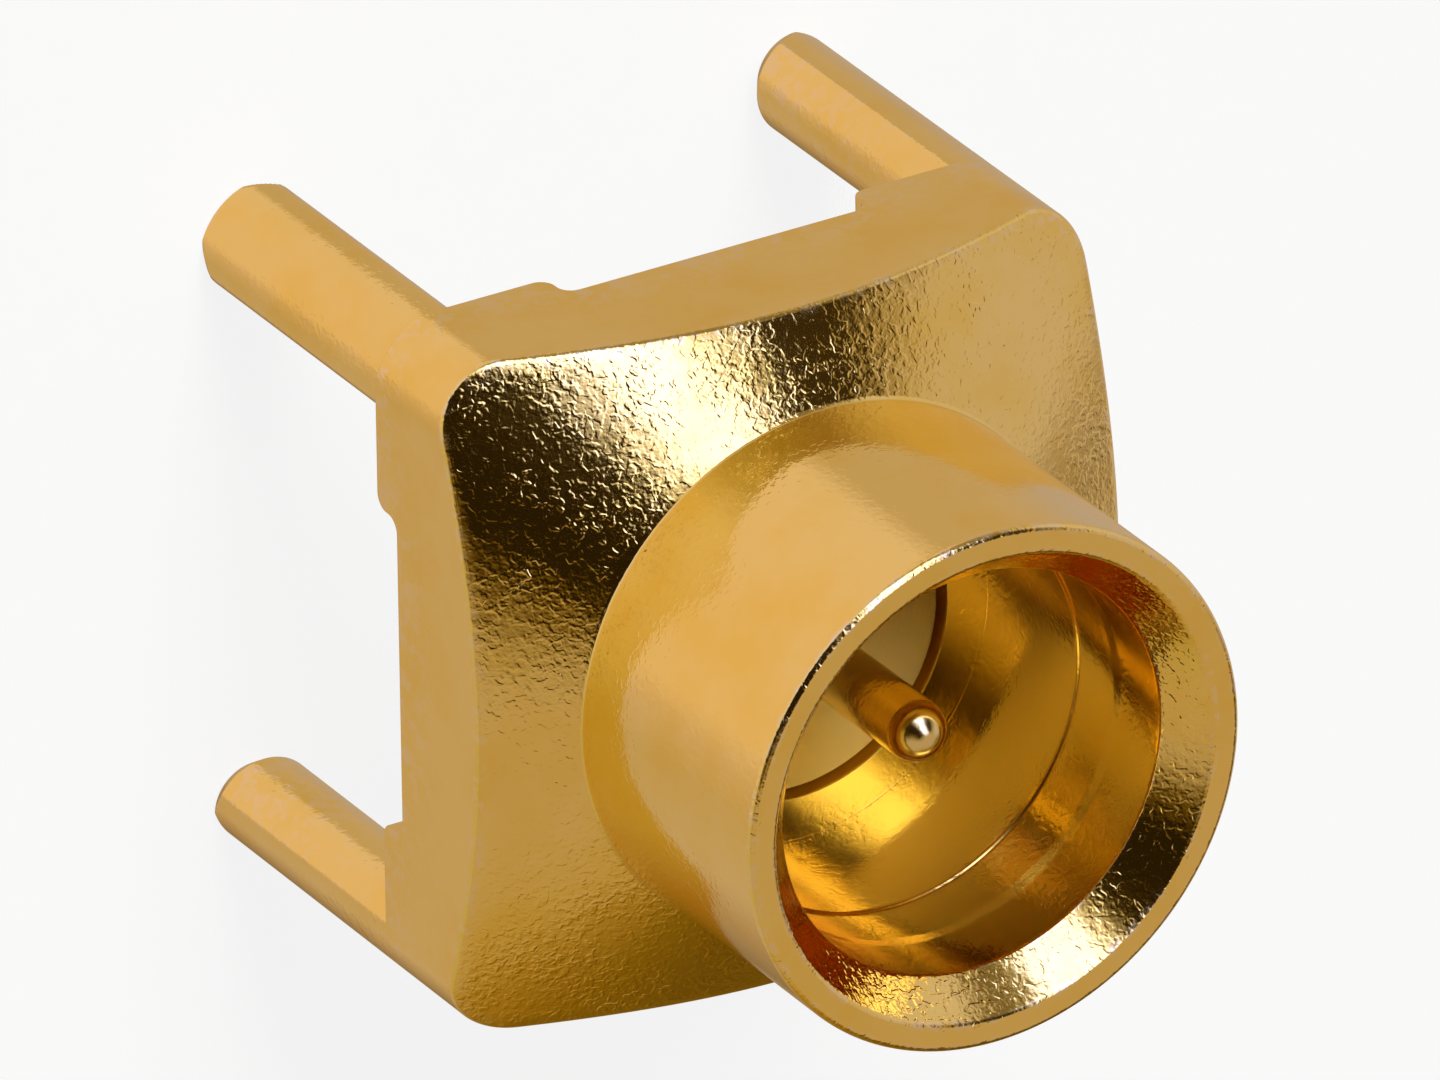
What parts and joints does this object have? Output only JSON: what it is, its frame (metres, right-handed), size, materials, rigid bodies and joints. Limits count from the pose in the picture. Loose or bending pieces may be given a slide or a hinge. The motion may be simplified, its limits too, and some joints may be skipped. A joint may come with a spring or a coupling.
{
  "type": "coaxial antenna connector",
  "caption": "Gold-plated board-mount coaxial antenna connector: square shell with corner legs, round socket with snap groove, white bead and centre contact.",
  "frame": {"origin": "on the connector's axis in the plane of the circuit board, where the solder tail enters the board", "axes": "+Z along the axis towards the socket's mouth, +X and +Y square to the body's sides"},
  "size_m": [0.0058, 0.0058, 0.0071],
  "materials": {
    "plated_shell": "gold plating, satin",
    "white_bead": "turned, matte",
    "plated_contact": "gold plating, polished"
  },
  "bodies": {
    "root": {"body": "plated_shell", "insulator": "white_bead", "center_contact": "plated_contact"}
  },
  "joints": []
}
